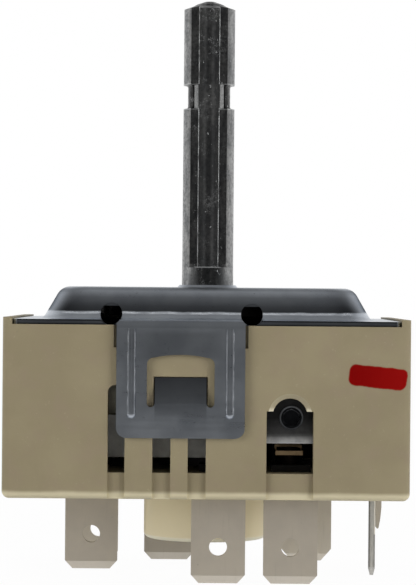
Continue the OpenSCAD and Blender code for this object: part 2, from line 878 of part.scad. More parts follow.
// Outline of the lower lip, which widens to an eye at the pin
module lever_lip() {
    translate([lever_x, lever_y])
        square([lever_end_x - lever_x, lever_lip_d]);
    translate([pin_x - 2, lever_y])
        square([4, pin_y - lever_y]);
    translate([pin_x, pin_y])
        circle(2);
}

module set_lever() {
    face_end = pin_x - 1.4;
    color([0.42, 0.42, 0.43])
        difference() {
            union() {
                translate([0, 0, lever_top_z])
                    linear_extrude(lever_t)
                        lever_flange();
                translate([0, 0, lever_lip_z])
                    linear_extrude(lever_lip_t)
                        lever_lip();
                block([lever_x, lever_y, lever_lip_z], [face_end, lever_y + lever_t, lever_top_z + lever_t]);
                rod_y(screw_x, screw_z, screw_d / 2 + 0.8, lever_y, lever_y + lever_t + 0.9);
            }
            translate([pin_x, pin_y, lever_lip_z - cut])
                cylinder(r = pin_r + run_fit, h = lever_top_z - lever_lip_z + lever_t + 2 * cut);
            rod_y(screw_x, screw_z, screw_d / 2 + 0.02, lever_y - cut, lever_y + lever_t + cut);
        }
}

module lever_pin() {
    shoulder = lever_lip_z - 0.1;
    head_z = lever_top_z + lever_t + 0.1;
    color([0.62, 0.62, 0.63]) {
        translate([pin_x, pin_y, floor_z - 1.4])
            cylinder(r = pin_r, h = head_z - floor_z + 1.4);
        translate([pin_x, pin_y, floor_z])
            cylinder(r = 1.9, h = shoulder - floor_z);
        translate([pin_x, pin_y, head_z])
            cylinder(r = 1.9, h = 0.6);
    }
}

module calibration_screw() {
    tip = 0.5;
    r = screw_d / 2;
    color([0.1, 0.1, 0.1])
        difference() {
            union() {
                rod_y(screw_x, screw_z, r, screw_y, screw_y + screw_l - tip);
                translate([screw_x, screw_y + screw_l - tip, screw_z])
                    rotate([-90, 0, 0])
                        cylinder(r1 = r, r2 = r - tip, h = tip);
            }
            translate([screw_x, screw_y - cut, screw_z])
                rotate([-90, 0, 0])
                    cylinder(r = socket_r, h = 1.3 + cut, $fn = 6);
        }
}

// Bimetal strip, heater plate and what holds them

module bimetal_strip() {
    y1 = bimetal_y + bimetal_t;
    color([0.4, 0.4, 0.42])
        difference() {
            union() {
                block([bimetal_x, bimetal_y, bimetal_z], [pad_x + pad_w, y1, bimetal_z + bimetal_h]);
                block([pad_x, bimetal_y, pad_z], [pad_x + pad_w, y1, bimetal_z + bimetal_h]);
                for (x = leg_x)
                    block([x - leg_w / 2, bimetal_y, bimetal_z - leg_l],
                        [x + leg_w / 2, y1, bimetal_z + 0.1]);
            }
            for (x = leg_x)
                rod_y(x, plate_z + plate_h / 2, 0.6 + seat_fit, bimetal_y - cut, y1 + cut);
        }
}

module bimetal_bracket() {
    x0 = bimetal_x - 0.4;
    y0 = bimetal_y + bimetal_t + seat_fit;
    color([0.6, 0.6, 0.6])
        union() {
            block([x0, y0, floor_z], [x0 + bracket_w, y0 + tab_t, bimetal_z + bimetal_h]);
            block([x0, y0, floor_z], [x0 + bracket_foot_w, y0 + bracket_foot_d, foot_z]);
        }
}

// The rivets through the plate and the strip's legs, with a spacer between them
module bimetal_rivets() {
    color([0.7, 0.62, 0.45])
        for (x = leg_x) {
            rod_y(x, plate_z + plate_h / 2, 0.6, plate_y - 0.3, bimetal_y + bimetal_t + 0.3);
            rod_y(x, plate_z + plate_h / 2, 1, plate_y - 0.35, plate_y);
            rod_y(x, plate_z + plate_h / 2, 1, plate_y + plate_t, bimetal_y);
            rod_y(x, plate_z + plate_h / 2, 0.9, bimetal_y + bimetal_t, bimetal_y + bimetal_t + 0.3);
        }
}

module heater_plate() {
    color([0.83, 0.83, 0.81])
        difference() {
            block([plate_x, plate_y, plate_z], [plate_x + plate_l, plate_y + plate_t, plate_z + plate_h]);
            for (x = leg_x)
                rod_y(x, plate_z + plate_h / 2, 0.6 + seat_fit, plate_y - cut, plate_y + plate_t + cut);
        }
}

module push_pin() {
    color([0.9, 0.9, 0.87])
        rod_y(blade_mid, push_pin_z, 0.7, bimetal_y + bimetal_t, blade_y - carrier_gap);
}

// Snap blade, its carrier and its contacts

module snap_blade() {
    color([0.72, 0.45, 0.3])
        difference() {
            block([blade_x, blade_y, blade_foot_z + 0.2],
                [blade_x + blade_w, blade_y + leaf_t, contact_z + contact_r + 0.3]);
            rod_y(blade_mid, contact_z, 0.5, blade_y - cut, blade_y + leaf_t + cut);
        }
}

// The copper strip that carries the blade: a foot over the terminal and a short upright
module snap_carrier() {
    x0 = blade_x - 0.2;
    x1 = blade_x + blade_w + 0.2;
    y1 = blade_y - carrier_gap;
    color([0.72, 0.45, 0.3])
        difference() {
            union() {
                block([x0, blade_front_y, blade_foot_z], [x1, y1, blade_foot_z + blade_foot_t]);
                block([x0, y1 - blade_foot_t, blade_foot_z], [x1, y1, blade_foot_z + carrier_h]);
            }
            translate([blade_mid, snap_rivet_y, blade_foot_z - cut])
                cylinder(r = 0.9 + seat_fit, h = blade_foot_t + 2 * cut);
        }
}

module snap_rivet() {
    color([0.7, 0.62, 0.45])
        translate([blade_mid, snap_rivet_y, 0]) {
            translate([0, 0, foot_z])
                cylinder(r = 1.5, h = blade_foot_z - foot_z);
            translate([0, 0, foot_z])
                cylinder(r = 0.9, h = blade_foot_z + blade_foot_t + 0.3 - foot_z);
            translate([0, 0, blade_foot_z + blade_foot_t])
                cylinder(r = 1.4, h = 0.3);
        }
}

module moving_contact() {
    y0 = blade_y + leaf_t;
    color([0.82, 0.82, 0.8]) {
        rod_y(blade_mid, contact_z, contact_r, y0, y0 + button_t);
        rod_y(blade_mid, contact_z, 0.5, blade_y, y0 + 0.1);
    }
}

module fixed_contact() {
    color([0.82, 0.82, 0.8])
        rod_y(blade_mid, contact_z, contact_r, fixed_post_y - button_t, fixed_post_y);
}

// Pole blades

module pole_blade() {
    union() {
        block([leaf_x, leaf_y0, leaf_z], [leaf_x + leaf_t, leaf_y1, leaf_z + leaf_h]);
        children();
    }
}

// The rounded nub that rides on a pole cam, at the height of that cam's lobe
module pole_nub(z0) {
    nub_r = 0.8;
    intersection() {
        translate([leaf_x + leaf_t - nub_r + 0.65, 0, z0])
            cylinder(r = nub_r, h = pole_t / 2 - 0.9);
        block([leaf_x + leaf_t - 0.1, -nub_r, z0 - cut], [leaf_x + leaf_t + nub_r, nub_r, z0 + pole_t]);
    }
}

module pole_blade_left() {
    color([0.72, 0.45, 0.3])
        pole_blade()
            pole_nub(pole_z + pole_t / 2 + 0.5);
}

module pole_blade_rear() {
    color([0.72, 0.45, 0.3])
        rotate([0, 0, -90])
            pole_blade()
                pole_nub(leaf_z);
}

// The contact pair at a pole blade's free end
module pole_contact_pair() {
    z = leaf_z + leaf_h / 2;
    translate([leaf_x + leaf_t, pole_contact_y, z])
        rotate([0, 90, 0])
            cylinder(r = contact_r, h = button_t - 0.2);
    translate([contact_post_x - button_t, pole_contact_y, z])
        rotate([0, 90, 0])
            cylinder(r = contact_r, h = button_t);
}

module pole_contacts() {
    color([0.82, 0.82, 0.8]) {
        pole_contact_pair();
        rotate([0, 0, -90])
            pole_contact_pair();
    }
}

// The post that a pole blade is welded to, and the one that carries its fixed contact
module blade_post() {
    block([leaf_x - tab_t, leaf_y0, floor_z], [leaf_x, leaf_y0 + post_leaf_h, leaf_z + leaf_h]);
}

module contact_post() {
    block([contact_post_x, pole_contact_y - 1.6, floor_z],
        [contact_post_x + tab_t, pole_contact_y + 1.6, leaf_z + leaf_h]);
}

module detent_spring() {
    x0 = -rim_r - 1.6;
    z0 = rim_z + 0.2;
    h = rim_t - 0.8;
    color([0.65, 0.65, 0.66])
        union() {
            block([x0, leaf_y0 - 1, z0], [x0 + leaf_t, 6, z0 + h]);
            intersection() {
                translate([-rim_r - 0.75, 0, z0])
                    cylinder(r = notch_r - cam_gap, h = h);
                block([x0 + leaf_t - 0.1, -2, z0 - cut], [-rim_r + 2, 2, z0 + h + cut]);
            }
        }
}

// Terminals

// A blade terminal's tab, with chamfered corners, a bevelled tip and its hole, up through the floor
module blade_tab(chamfer_x = 0.9, chamfer_z = 1, w = tab_w, rise = 0, hole_z = tab_hole_z) {
    bevel_z = 0.9;
    bevel_t = 0.4;
    half = w / 2;
    stem = half - shoulder;
    top = body_z - tip_z - rise;
    stem_top = foot_z - tip_z - rise;
    difference() {
        intersection() {
            rotate([90, 0, 0])
                linear_extrude(tab_t, center = true)
                    polygon([
                        [-half + chamfer_x, 0], [half - chamfer_x, 0], [half, chamfer_z], [half, top],
                        [stem, top], [stem, stem_top], [-stem, stem_top],
                        [-stem, top], [-half, top], [-half, chamfer_z]
                    ]);
            translate([-half - cut, 0, 0])
                rotate([90, 0, 90])
                    linear_extrude(w + 2 * cut)
                        polygon([
                            [-bevel_t / 2, 0], [bevel_t / 2, 0], [tab_t / 2, bevel_z], [tab_t / 2, stem_top],
                            [-tab_t / 2, stem_top], [-tab_t / 2, bevel_z]
                        ]);
        }
        rod_y(0, hole_z, tab_hole_d / 2, -tab_t, tab_t);
    }
}

module tab_at(x, y, turn = 0, rise = 0) {
    translate([x, y, tip_z + rise])
        rotate([0, 0, turn])
            blade_tab(rise = rise);
}

// A flat foot on the housing's floor
module foot(x0, y0, x1, y1) {
    block([x0, y0, floor_z], [x1, y1, foot_z]);
}

tin = [0.68, 0.66, 0.6];

module terminal_front_center() {
    x0 = front_center_x - stem_w / 2;
    color(tin)
        union() {
            tab_at(front_center_x, front_tab_y);
            foot(x0, front_tab_y - tab_t / 2, x0 + stem_w, front_tab_y + 3.4);
        }
}

module terminal_front_right() {
    x0 = front_right_x - stem_w / 2;
    color(tin)
        union() {
            tab_at(front_right_x, front_tab_y);
            foot(x0, front_tab_y - tab_t / 2, x0 + stem_w, snap_rivet_y + 2.1);
        }
}

module terminal_left() {
    color(tin)
        union() {
            tab_at(tab_x, tab_y, rise = left_rise);
            foot(tab_x - stem_w / 2, tab_y - tab_t / 2, leaf_x, tab_y + tab_t / 2);
            foot(leaf_x - 1.6, leaf_y0, leaf_x, tab_y + tab_t / 2);
            blade_post();
        }
}

module terminal_left_rear() {
    x = tab_x + tab_rear_shift;
    color(tin)
        union() {
            translate([x, tab_rear_y, tip_z + left_rise])
                blade_tab(w = narrow_tab_w, rise = left_rise, hole_z = tab_hole_z - 0.37);
            foot(x - narrow_stem_w / 2, tab_rear_y - tab_t, contact_post_x + tab_t, tab_rear_y + tab_t);
            contact_post();
        }
}

module terminal_rear_left() {
    color(tin)
        union() {
            tab_at(rear_left_x, rear_tab_y);
            foot(leaf_y0, -leaf_x, leaf_y0 + post_leaf_h + 1, rear_tab_y + tab_t / 2);
            rotate([0, 0, -90])
                blade_post();
        }
}

module terminal_rear_right() {
    x0 = pole_contact_y - 1.6;
    color(tin)
        union() {
            translate([rear_right_x, rear_tab_y, tip_z])
                blade_tab(1.3, 1.5);
            foot(x0, rear_tab_y - tab_t / 2, rear_right_x + stem_w / 2, rear_tab_y + tab_t / 2);
            foot(x0, -contact_post_x - tab_t, x0 + 3.2, rear_tab_y + tab_t / 2);
            rotate([0, 0, -90])
                contact_post();
        }
}

module terminal_side() {
    half = stem_w / 2;
    color(tin)
        union() {
            tab_at(side_tab_x, side_tab_y, side_tab_turn);
            foot(side_tab_x - 1.6, side_tab_y - half, side_tab_x + tab_t / 2, side_tab_y + half);
            foot(blade_x - 0.4, fixed_post_y, side_tab_x + tab_t / 2, fixed_post_y + 2.5);
            block([blade_x - 0.4, fixed_post_y, floor_z],
                [blade_x + blade_w + 0.4, fixed_post_y + tab_t, contact_z + contact_r + 0.4]);
        }
}

// Side lug: a short prong through the floor, with a tapered end that leans inwards
module side_lug() {
    lean = 0.12;
    tip_t = 0.3;
    low = body_z - lug_l;
    start = low + lug_taper;
    mid = lug_x + lug_t / 2 - lean;
    color(tin)
        union() {
            translate([0, lug_y + lug_w, 0])
                rotate([90, 0, 0])
                    linear_extrude(lug_w)
                        polygon([
                            [lug_x, foot_z], [lug_x, start], [lug_x, low + lug_taper / 2],
                            [mid - tip_t / 2, low + 0.1], [mid - tip_t / 4, low], [mid + tip_t / 4, low],
                            [mid + tip_t / 2, low + 0.1], [lug_x + lug_t - 0.12, low + lug_taper / 2],
                            [lug_x + lug_t, start], [lug_x + lug_t, foot_z]
                        ]);
            foot(lug_x - lug_foot_w, lug_y, lug_x + lug_t, lug_y + lug_w);
        }
}

housing();
cover();
shaft();
cam_wheel();
shaft_spring();
set_lever();
lever_pin();
calibration_screw();
bimetal_strip();
bimetal_bracket();
bimetal_rivets();
heater_plate();
push_pin();
snap_blade();
snap_carrier();
snap_rivet();
moving_contact();
fixed_contact();
pole_blade_left();
pole_blade_rear();
pole_contacts();
detent_spring();
terminal_front_center();
terminal_front_right();
terminal_left();
terminal_left_rear();
terminal_rear_left();
terminal_rear_right();
terminal_side();
side_lug();
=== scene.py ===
"""Looks of a control for an electric range's surface element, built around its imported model."""
import math

import bpy
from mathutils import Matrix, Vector


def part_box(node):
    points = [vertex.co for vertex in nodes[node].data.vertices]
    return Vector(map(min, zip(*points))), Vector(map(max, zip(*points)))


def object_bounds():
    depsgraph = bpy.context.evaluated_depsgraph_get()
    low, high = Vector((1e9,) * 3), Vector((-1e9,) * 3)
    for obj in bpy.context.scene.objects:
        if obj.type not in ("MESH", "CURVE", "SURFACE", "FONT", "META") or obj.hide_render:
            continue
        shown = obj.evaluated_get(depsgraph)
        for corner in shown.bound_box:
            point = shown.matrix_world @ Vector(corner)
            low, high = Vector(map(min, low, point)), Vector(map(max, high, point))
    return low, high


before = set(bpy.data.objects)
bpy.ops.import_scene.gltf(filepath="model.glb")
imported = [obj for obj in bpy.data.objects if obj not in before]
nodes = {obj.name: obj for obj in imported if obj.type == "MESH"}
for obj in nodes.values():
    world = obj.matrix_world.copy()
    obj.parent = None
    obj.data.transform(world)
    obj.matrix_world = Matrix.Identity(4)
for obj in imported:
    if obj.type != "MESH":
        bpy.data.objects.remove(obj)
cad_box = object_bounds()

MM = 0.001

# Photograph's frame and the camera that took it
PHOTO_H = 585
FOCAL_PX = 2526
SENSOR = 36.0
CAMERA_AT = (0.07 * MM, -308 * MM, -0.6 * MM)
CAMERA_ROLL = math.radians(0.5)

TABS = [name for name in nodes if name.startswith("terminal_")]
TAB_EDGE = 0.12 * MM

# Housing: its front face, its underside, the boss's end, the height where the tabs go inside, the round hole
FRONT_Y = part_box("housing")[0][1]
BODY_Z = -24.45 * MM
BOSS_Z = BODY_Z - 5.95 * MM
INSIDE_Z = (BODY_Z + 0.2 * MM, BODY_Z + 0.8 * MM)
CAL_HOLE = (9.635 * MM, -14.7 * MM)
CAL_R = 2.0 * MM
CAL_BEVEL = 0.5 * MM

# Cover: the flange's top face, and the front clip's middle, half width, ribs and tongue
FLANGE_Z = -3.7 * MM
CLIP_X = -2.97 * MM
CLIP_HALF = 7.45 * MM
RIB_X = 5.67 * MM
TONGUE_HALF = 2.98 * MM

# Shaft: the heights of its slots and of its snap notch, and the half width of its centre rib
SLOTS_Z = (2.5 * MM, 33.9 * MM)
NOTCH_Z = (21.75 * MM, 24.55 * MM)
CENTRE_RIB = 1.3 * MM

SCREW = (9.9 * MM, -15.1 * MM)
SIDE_TAB_X = 19.93 * MM

# Floor and surroundings: how far the floor reaches, its share of pure white, and the light above
FLOOR_HALF = 3.0
FLOOR_WHITE = 0.975
UNDER_TIPS = 0.05 * MM
LIGHT_ABOVE = 0.2


class Shader:
    """A material's node tree, with short calls for the nodes that the finishes share."""

    def __init__(self, name):
        self.material = bpy.data.materials.new(name)
        self.material.use_nodes = True
        self.tree = self.material.node_tree
        self.tree.nodes.clear()
        self.output = self.tree.nodes.new("ShaderNodeOutputMaterial")
        self.place = self.add("ShaderNodeTexCoord").outputs["Object"]

    def add(self, kind, inputs=(), **settings):
        """A new node with its settings, and its inputs linked or set."""
        node = self.tree.nodes.new(kind)
        for key, value in settings.items():
            setattr(node, key, value)
        for key, value in dict(inputs).items():
            self.feed(node.inputs[key], value)
        return node

    def feed(self, socket, value):
        if isinstance(value, bpy.types.NodeSocket):
            self.tree.links.new(value, socket)
        else:
            socket.default_value = value

    def stretched(self, scale):
        """Object coordinates scaled per axis, for grain that runs one way."""
        return self.add("ShaderNodeMapping", {"Vector": self.place, "Scale": scale}).outputs[0]

    def noise(self, size, detail=4.0, rough=0.55, where=None, seed=0.0):
        """Noise whose features are about size metres across."""
        inputs = {"Vector": where or self.place, "Scale": 1 / size, "Detail": detail, "Roughness": rough,
                  "W": seed}
        return self.add("ShaderNodeTexNoise", inputs, noise_dimensions="4D").outputs["Fac"]

    def span(self, value, low, high, to_low=0.0, to_high=1.0):
        """Carries low..high to to_low..to_high, smoothly and clamped."""
        inputs = {"Value": value, "From Min": low, "From Max": high, "To Min": to_low, "To Max": to_high}
        return self.add("ShaderNodeMapRange", inputs, interpolation_type="SMOOTHSTEP").outputs["Result"]

    def math(self, operation, a, b=0.0):
        return self.add("ShaderNodeMath", {0: a, 1: b}, operation=operation).outputs[0]

    def mix(self, factor, a, b):
        """Mixes two colours."""
        node = self.add("ShaderNodeMix", data_type="RGBA")
        self.feed(node.inputs["Factor"], factor)
        self.feed(node.inputs["A"], colour(a))
        self.feed(node.inputs["B"], colour(b))
        return node.outputs["Result"]

    def clouded(self, dark, light, size, low=0.35, high=0.65, **noise):
        """Two colours in soft clouds about size metres across."""
        return self.mix(self.span(self.noise(size, **noise), low, high), dark, light)

    def flecked(self, base, tint, size, low, high, amount, **noise):
        """A colour with a tint where noise runs from low to high."""
        return self.mix(self.span(self.noise(size, **noise), low, high, 0.0, amount), base, tint)

    def wandering(self, value, size, reach, **noise):
        """A place that strays by up to half of reach metres either way."""
        stray = self.math("SUBTRACT", self.noise(size, **noise), 0.5)
        return self.math("ADD", value, self.math("MULTIPLY", stray, reach))

    def band(self, value, low, high, soft):
        """1 between low and high, falling to 0 over soft on either side."""
        return self.math("MULTIPLY", self.span(value, low - soft, low), self.span(value, high + soft, high))

    def both(self, a, b):
        """The product of two masks or numbers."""
        return self.math("MULTIPLY", a, b)

    def widest(self, *masks):
        """The largest of some masks."""
        top = masks[0]
        for mask in masks[1:]:
            top = self.math("MAXIMUM", top, mask)
        return top

    def switch(self, mask, off, on):
        """Runs from one number to another as the mask runs from 0 to 1."""
        return self.math("ADD", self.both(off, self.math("SUBTRACT", 1.0, mask)), self.both(on, mask))

    def shade(self, colour_in, factor):
        """A colour times a factor."""
        return self.add("ShaderNodeVectorMath", {0: colour_in, 3: factor}, operation="SCALE").outputs[0]

    def levels(self, value, *steps):
        """A factor that runs through steps of (millimetres, level), straight between them."""
        ramp = self.add("ShaderNodeFloatCurve")
        low, high = steps[0][0] * MM, steps[-1][0] * MM
        place = self.add("ShaderNodeMapRange", {"Value": value, "From Min": low, "From Max": high})
        top = max(level for _, level in steps)
        points = ramp.mapping.curves[0].points
        while len(points) < len(steps):
            points.new(0.5, 0.5)
        for point, (at, level) in zip(points, steps):
            point.location = ((at * MM - low) / (high - low), level / top)
            point.handle_type = "VECTOR"
        ramp.mapping.update()
        self.feed(ramp.inputs["Value"], place.outputs["Result"])
        return self.math("MULTIPLY", ramp.outputs[0], top)

    def axis(self, name):
        """One of the object's own coordinates, in metres."""
        return self.add("ShaderNodeSeparateXYZ", {"Vector": self.place}).outputs[name]

    def facing(self, name):
        """One component of the surface's own normal in the object's frame."""
        normal = self.add("ShaderNodeTexCoord").outputs["Normal"]
        return self.add("ShaderNodeSeparateXYZ", {"Vector": normal}).outputs[name]

    def from_centre(self, centre):
        """X and Z from a centre on the front, and the distance to it."""
        x = self.math("SUBTRACT", self.axis("X"), centre[0])
        z = self.math("SUBTRACT", self.axis("Z"), centre[1])
        return x, z, self.math("SQRT", self.math("ADD", self.both(x, x), self.both(z, z)))

    def bump(self, height, depth, strength=1.0, under=None):
        """A bump whose full height is depth metres."""
        inputs = {"Height": height, "Distance": depth, "Strength": strength}
        if under is not None:
            inputs["Normal"] = under
        return self.add("ShaderNodeBump", inputs).outputs["Normal"]

    def finish(self, **inputs):
        """The surface shader. Names use underscores for the sockets' spaces."""
        sockets = {key.replace("_", " "): value for key, value in inputs.items()}
        shader = self.add("ShaderNodeBsdfPrincipled", sockets)
        self.tree.links.new(shader.outputs[0], self.output.inputs["Surface"])
        return self.material


def colour(value):
    """Adds the alpha to a colour of three numbers, and leaves a socket as it is."""
    return (*value, 1.0) if isinstance(value, tuple) and len(value) == 3 else value


def srgb(red, green, blue):
    """A colour written as 0..255 display values, as linear light."""
    def linear(v):
        v /= 255
        return v / 12.92 if v <= 0.04045 else ((v + 0.055) / 1.055) ** 2.4
    return (linear(red), linear(green), linear(blue))


TIN = (srgb(182, 173, 159), srgb(190, 181, 166))
IN_SHADE = srgb(26, 24, 22)


def thermoset():
    """Cream moulding: soft mottling, painted light on the lower edge, the boss and the hole's bevel, fine skin,
    and the red marker stripe.
    """
    s = Shader("cream_thermoset")
    z = s.axis("Z")
    base = s.clouded(srgb(145, 134, 107), srgb(152, 141, 113), 7 * MM)
    base = s.flecked(base, srgb(148, 133, 112), 2.5 * MM, 0.45, 0.7, 0.5, seed=9.0)
    base = s.flecked(base, srgb(120, 112, 90), 0.5 * MM, 0.66, 0.76, 0.2, detail=2.0, seed=3.0)
    base = s.flecked(base, srgb(190, 182, 154), 0.35 * MM, 0.68, 0.76, 0.15, detail=1.0, seed=7.0)
    # Painted light from below: the lower edge is paler.
    lip = s.span(s.wandering(z, 3 * MM, 0.3 * MM, seed=13.0), BODY_Z + 1.1 * MM, BODY_Z + 0.5 * MM, 0.0, 0.85)
    base = s.mix(lip, base, srgb(220, 210, 178))
    # Painted light from below: the boss under the housing is paler.
    base = s.mix(s.span(z, BODY_Z - 0.1 * MM, BODY_Z - 0.3 * MM), base, srgb(246, 234, 200))
    # Painted highlight: a bright line along the boss's lower end.
    base = s.mix(s.span(z, BOSS_Z + 0.6 * MM, BOSS_Z + 0.35 * MM), base, srgb(255, 250, 228))
    # Painted highlight on the calibration hole's bevel.
    base = s.mix(cal_bevel_highlight(s), base, srgb(236, 228, 202))
    stripe = marker_stripe(s)
    red = s.mix(s.span(s.axis("X"), 17 * MM, 22.5 * MM), srgb(126, 6, 5), srgb(140, 12, 10))
    base = s.mix(stripe, base, red)
    skin = s.bump(s.noise(0.25 * MM, detail=3.0), 0.015 * MM, 0.4)
    waves = s.bump(s.noise(5 * MM, detail=1.0, seed=2.0), 0.1 * MM, 0.25, under=skin)
    rough = s.span(s.noise(1.5 * MM, seed=5.0), 0.3, 0.7, 0.48, 0.6)
    return s.finish(Base_Color=base, Roughness=rough, Normal=waves,
                    Specular_IOR_Level=s.span(stripe, 0.0, 1.0, 0.35, 0.04))


def cal_bevel_highlight(s):
    """Where the bevel round the calibration hole gets a painted highlight, strongest towards its lower ends."""
    _, z, radius = s.from_centre(CAL_HOLE)
    ring = s.both(s.band(radius, CAL_R, CAL_R + CAL_BEVEL, 0.05 * MM), s.span(z, -0.3 * MM, 0.1 * MM))
    front = s.span(s.axis("Y"), FRONT_Y + 0.7 * MM, FRONT_Y + 0.6 * MM)
    return s.both(s.both(ring, front), s.span(z, 1.1 * MM, 0.5 * MM, 0.2, 0.85))


def marker_stripe(s):
    """Where the hand-drawn stripe lies on the front face: 1 inside, 0 outside, with round, uneven ends."""
    middle_x, middle_z = 19.72 * MM, -10.19 * MM
    half_x, half_z = 3.33 * MM, 1.23 * MM
    corner = 0.8 * MM
    slope = -0.105
    slant = 0.14
    edge = 0.09 * MM
    x = s.math("SUBTRACT", s.axis("X"), middle_x)
    z = s.math("SUBTRACT", s.math("SUBTRACT", s.axis("Z"), middle_z), s.both(x, slope))
    x = s.math("SUBTRACT", x, s.both(z, slant))
    over_x = s.math("MAXIMUM", s.math("SUBTRACT", s.math("ABSOLUTE", x), half_x - corner), 0.0)
    over_z = s.math("MAXIMUM", s.math("SUBTRACT", s.math("ABSOLUTE", z), half_z - corner), 0.0)
    past_corner = s.math("SQRT", s.math("ADD", s.both(over_x, over_x), s.both(over_z, over_z)))
    out = s.wandering(s.math("SUBTRACT", past_corner, corner), 2.2 * MM, 0.55 * MM, detail=3.0, seed=11.0)
    front = s.span(s.axis("Y"), FRONT_Y + 0.3 * MM, FRONT_Y + 0.1 * MM)
    ink = s.span(s.noise(0.9 * MM, seed=12.0), 0.2, 0.4, 0.9, 1.0)
    return s.both(s.span(out, edge, -edge), s.both(front, ink))


def zinc_sheet():
    """Zinc-plated pressed sheet: satin, with soft clouds, fine scratches and small spots."""
    s = Shader("zinc_plated_sheet")
    clouds = s.span(s.noise(4 * MM, seed=1.0), 0.3, 0.7)
    base = s.mix(clouds, srgb(150, 155, 162), srgb(166, 171, 177))
    base = s.flecked(base, srgb(104, 107, 110), 0.45 * MM, 0.66, 0.74, 0.3, detail=2.0, seed=4.0)
    # Painted light and shade from cover_shading: its factor darkens and lightens the colour in bands, and its
    # bright mask lays painted highlights, made less metallic so that they show.
    factor, bright, corner = cover_shading(s)
    base = s.mix(bright, s.shade(base, factor), srgb(235, 238, 242))
    # Painted shade in the reflections: the specular tint turns dark grey on the dome's corners.
    grazing = s.mix(corner, srgb(255, 255, 255), srgb(60, 62, 64))
    lines = s.noise(0.35 * MM, detail=3.0, where=s.stretched((0.06, 1.0, 1.0)), seed=6.0)
    rough = s.math("ADD", s.span(lines, 0.3, 0.7, 0.26, 0.34), s.span(clouds, 0.0, 1.0, 0.0, 0.06))
    grain = s.bump(s.noise(0.12 * MM, detail=2.0, seed=8.0), 0.006 * MM, 0.5)
    brushed = s.bump(lines, 0.01 * MM, 0.3, under=grain)
    return s.finish(Base_Color=base, Metallic=s.span(bright, 0.0, 1.0, 1.0, 0.1), Roughness=rough,
                    Normal=brushed, Specular_Tint=grazing)


def cover_shading(s):
    """Painted light and shade on the cover: bands on the dome's wall and foot, the flange's edge, and the
    clips' ribs and tongues.

    Returns a factor of painted light and shade for the colour, a mask for painted highlights, and one for
    painted shade on the dome's corners.
    """
    x, y, z = s.axis("X"), s.axis("Y"), s.axis("Z")
    out = s.math("ABSOLUTE", y)
    from_clip = s.math("ABSOLUTE", s.math("ADD", s.both(x, s.math("SIGN", y)), CLIP_X))
    wavy = s.wandering(z, 2 * MM, 0.25 * MM, seed=21.0)

    # Painted light and shade in bands up the dome's wall and foot.
    wall = s.levels(wavy, (-4.6, 1.25), (-4.0, 1.25), (-3.8, 2.4), (-3.3, 2.2), (-3.12, 2.2), (-2.92, 2.2),
                    (-2.8, 0.35), (-2.25, 0.5), (-1.2, 1.15), (-0.5, 2.4), (-0.1, 1.6), (0.2, 1.4))
    # Painted shade on the dome's corners, where the wall's bands are darkened.
    on_dome = s.both(s.span(z, -3.0 * MM, -2.7 * MM), s.span(z, 0.0, -0.4 * MM))
    corner = s.both(s.span(s.math("ABSOLUTE", x), 13 * MM, 18.5 * MM), on_dome)
    wall = s.both(wall, s.switch(corner, 1.0, 0.3))
    # Painted light where the wall's bands don't lie: the dome's top and sides and the flange beside them.
    plain = s.span(z, FLANGE_Z - 0.2 * MM, FLANGE_Z, 1.25, 1.9)
    banded = s.widest(s.span(out, 11 * MM, 13.5 * MM), s.span(z, FLANGE_Z, FLANGE_Z - 0.05 * MM))
    # Painted shade on the clip's upper middle.
    upper_clip = s.both(s.span(from_clip, 6 * MM, 3 * MM, 0.0, 0.25), s.band(z, -8.0 * MM, -5.6 * MM, 0.8 * MM))
    factor = s.math("SUBTRACT", s.switch(banded, plain, wall), upper_clip)

    # Painted shade and light along the flange's front edge, outside the clip: dark lines with grey between.
    edge = s.levels(z, (-4.5, 0.15), (-4.3, 0.15), (-4.22, 0.45), (-3.98, 0.6), (-3.93, 0.15), (-3.7, 0.2))
    on_edge = s.both(s.span(out, 17.9 * MM, 17.95 * MM), s.span(z, FLANGE_Z + 0.05 * MM, FLANGE_Z - 0.05 * MM))
    on_edge = s.both(on_edge, s.span(from_clip, CLIP_HALF - 0.15 * MM, CLIP_HALF + 0.15 * MM))
    # Painted shade on the clip's tongue, darker towards its top.
    tongue = s.levels(z, (-15.5, 1.25), (-14.0, 0.9), (-12.5, 0.6), (-10.4, 0.4))
    on_tongue = s.span(from_clip, TONGUE_HALF + 0.02 * MM, TONGUE_HALF - 0.02 * MM)
    on_tongue = s.both(on_tongue, s.span(z, -10.0 * MM, -10.3 * MM))
    factor = s.switch(on_tongue, s.switch(on_edge, factor, edge), tongue)

    # Painted highlight: a bright line at the dome's foot.
    foot = s.both(s.band(wavy, -3.12 * MM, -2.96 * MM, 0.08 * MM), s.span(out, 13 * MM, 13.5 * MM))
    foot = s.both(foot, s.span(s.noise(1.6 * MM, seed=22.0), 0.3, 0.6, 0.2, 0.5))
    # Painted highlights along the clip's ribs.
    across_rib = s.math("ABSOLUTE", s.math("SUBTRACT", from_clip, RIB_X))
    along_rib = s.band(z, -14.6 * MM, -5.2 * MM, 0.2 * MM)
    ribs = s.both(s.band(across_rib, 0.38 * MM, 0.46 * MM, 0.05 * MM), along_rib)
    ribs = s.both(ribs, s.span(s.noise(1.1 * MM, seed=23.0), 0.35, 0.6, 0.12, 0.4))
    return factor, s.widest(foot, ribs), corner


